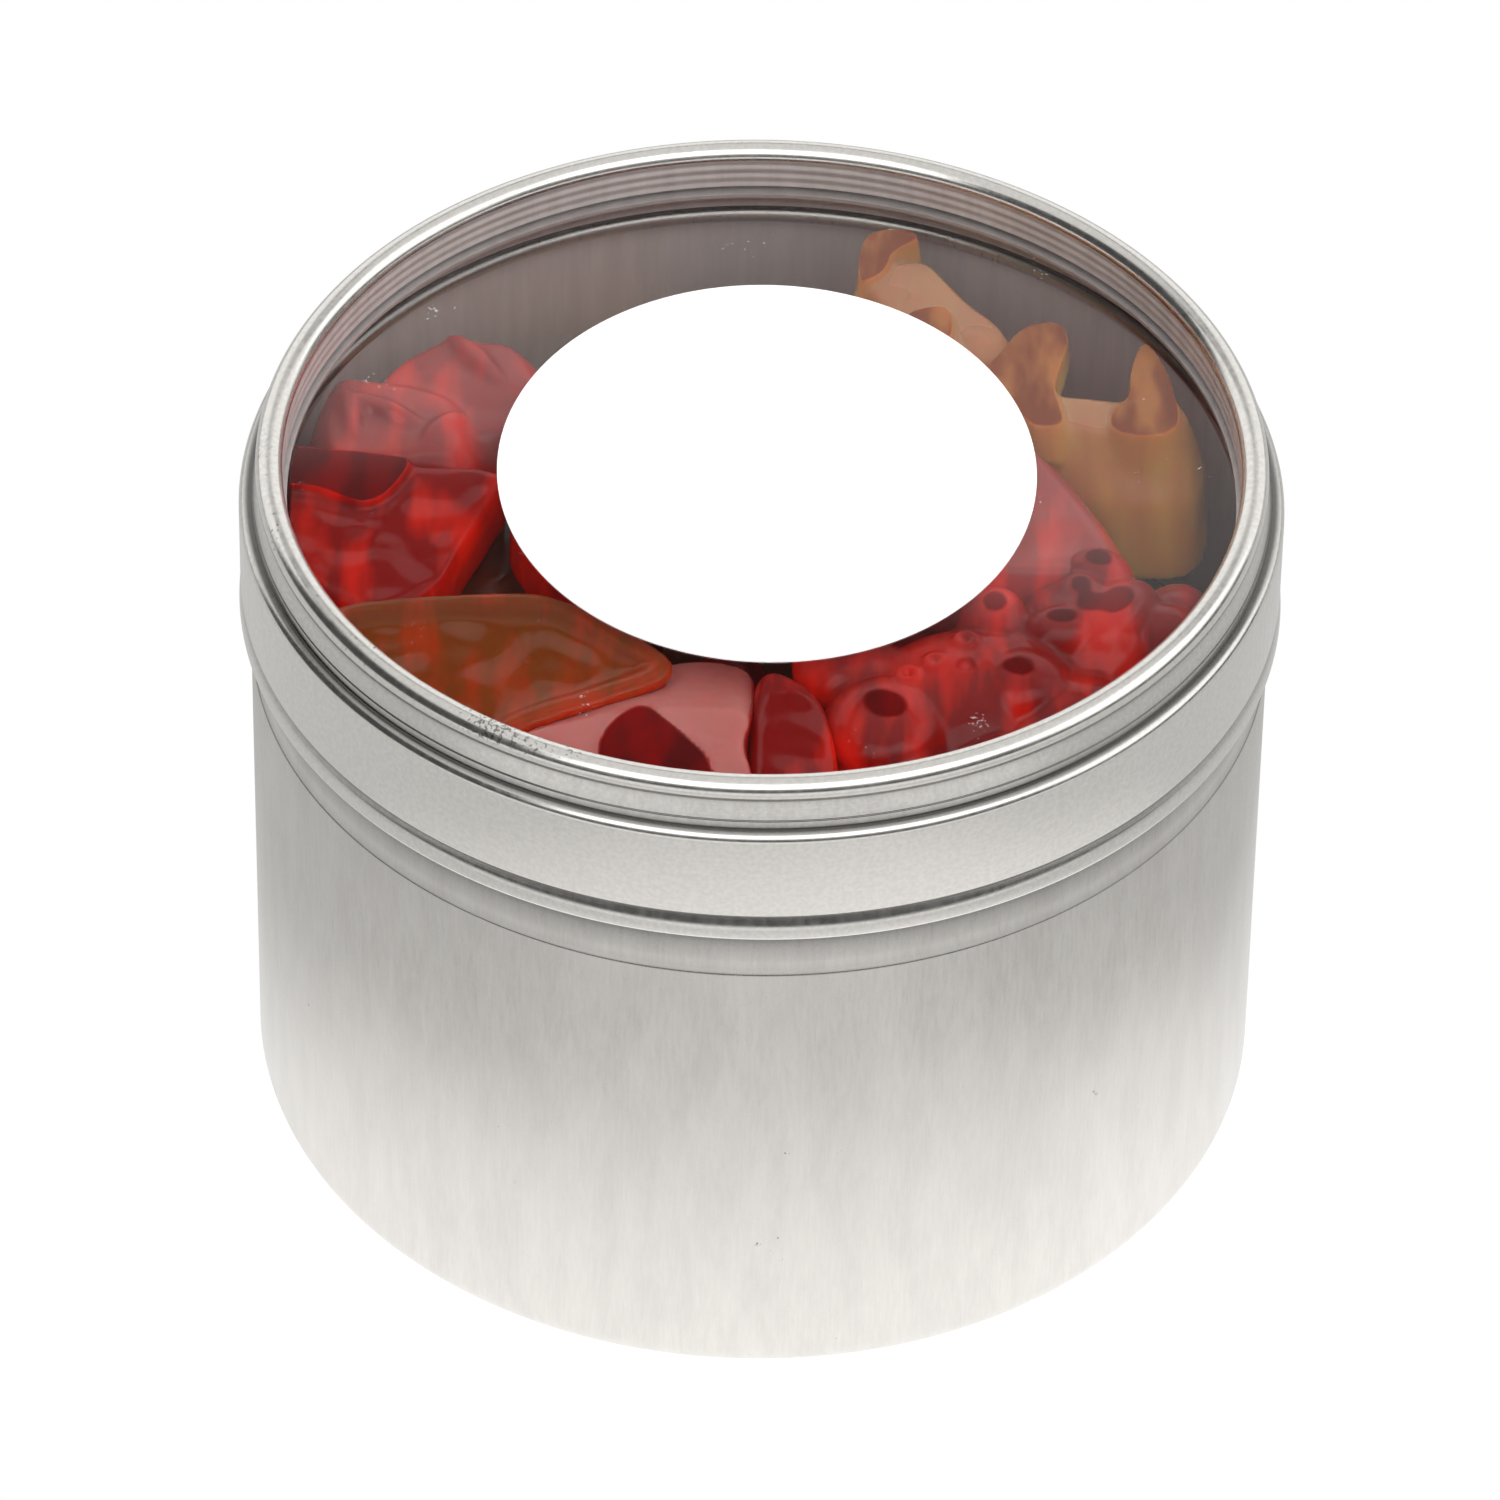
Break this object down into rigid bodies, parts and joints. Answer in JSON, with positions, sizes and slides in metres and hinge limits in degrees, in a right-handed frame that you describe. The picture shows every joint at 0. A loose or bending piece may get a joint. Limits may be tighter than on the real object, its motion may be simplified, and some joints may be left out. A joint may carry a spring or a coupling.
{
  "type": "window lid tin",
  "caption": "Round slip-lid tin with a clear window in its lid, closed, a bare oval label on the window and gummy sweets inside.",
  "frame": {"origin": "middle of the base, on the plane that the tin stands on", "axes": "+Z is the axis of the tin, up towards the window; -Y is the front in the picture"},
  "size_m": [0.066, 0.066, 0.0493],
  "materials": {
    "tin_metal": "bare tinplate with a fine upright grain, satin",
    "lid_metal": "bare tinplate, satin, brighter on the rolled edges",
    "retainer_metal": "bare tinplate, satin",
    "clear_window": "clear stiff plastic sheet, glossy",
    "bare_label": "plain white, matt",
    "gummy_red": "clear red gummy, lightly oiled",
    "gummy_amber": "clear orange gummy, lightly oiled",
    "gummy_brown": "dark brown gummy, lightly oiled",
    "gummy_pale_amber": "pale amber gummy, lightly oiled"
  },
  "bodies": {
    "tin": {"tin_body": "tin_metal", "bear_layer1_ring1": "gummy_red", "bear_layer1_ring2": "gummy_amber", "bear_layer1_ring3": "gummy_red", "bear_layer1_ring4": "gummy_brown", "bear_layer1_ring5": "gummy_red", "bear_layer1_ring6": "gummy_pale_amber", "bear_layer1_middle1": "gummy_red", "bear_layer1_middle2": "gummy_amber", "bear_layer2_ring1": "gummy_red", "bear_layer2_ring2": "gummy_brown", "bear_layer2_ring3": "gummy_red", "bear_layer2_ring4": "gummy_pale_amber", "bear_layer2_ring5": "gummy_red", "bear_layer2_ring6": "gummy_amber", "bear_layer2_middle1": "gummy_red", "bear_layer2_middle2": "gummy_brown", "bear_layer3_ring1": "gummy_red", "bear_layer3_ring2": "gummy_pale_amber", "bear_layer3_ring3": "gummy_red", "bear_layer3_ring4": "gummy_amber", "bear_layer3_ring5": "gummy_red", "bear_layer3_ring6": "gummy_brown", "bear_layer3_middle1": "gummy_red", "bear_layer3_middle2": "gummy_pale_amber", "bear_front_right": "gummy_red", "bear_back_right": "gummy_pale_amber", "bear_back": "gummy_pale_amber", "bear_left": "gummy_red", "drop_front_amber": "gummy_amber", "drop_under_left": "gummy_brown", "drop_under_front": "gummy_red", "drop_under_right": "gummy_red", "drop_front_middle": "gummy_red", "drop_front_red": "gummy_red", "drop_left_red": "gummy_red", "drop_middle_red": "gummy_red", "drop_right_red": "gummy_red"},
    "lid": {"lid_shell": "lid_metal", "window_retainer": "retainer_metal", "window": "clear_window", "label": "bare_label"}
  },
  "joints": [
    {"name": "lid_lift", "type": "slide", "parent": "tin", "child": "lid", "axis": [0, 0, 1], "range_m": [0, 0.04]}
  ]
}
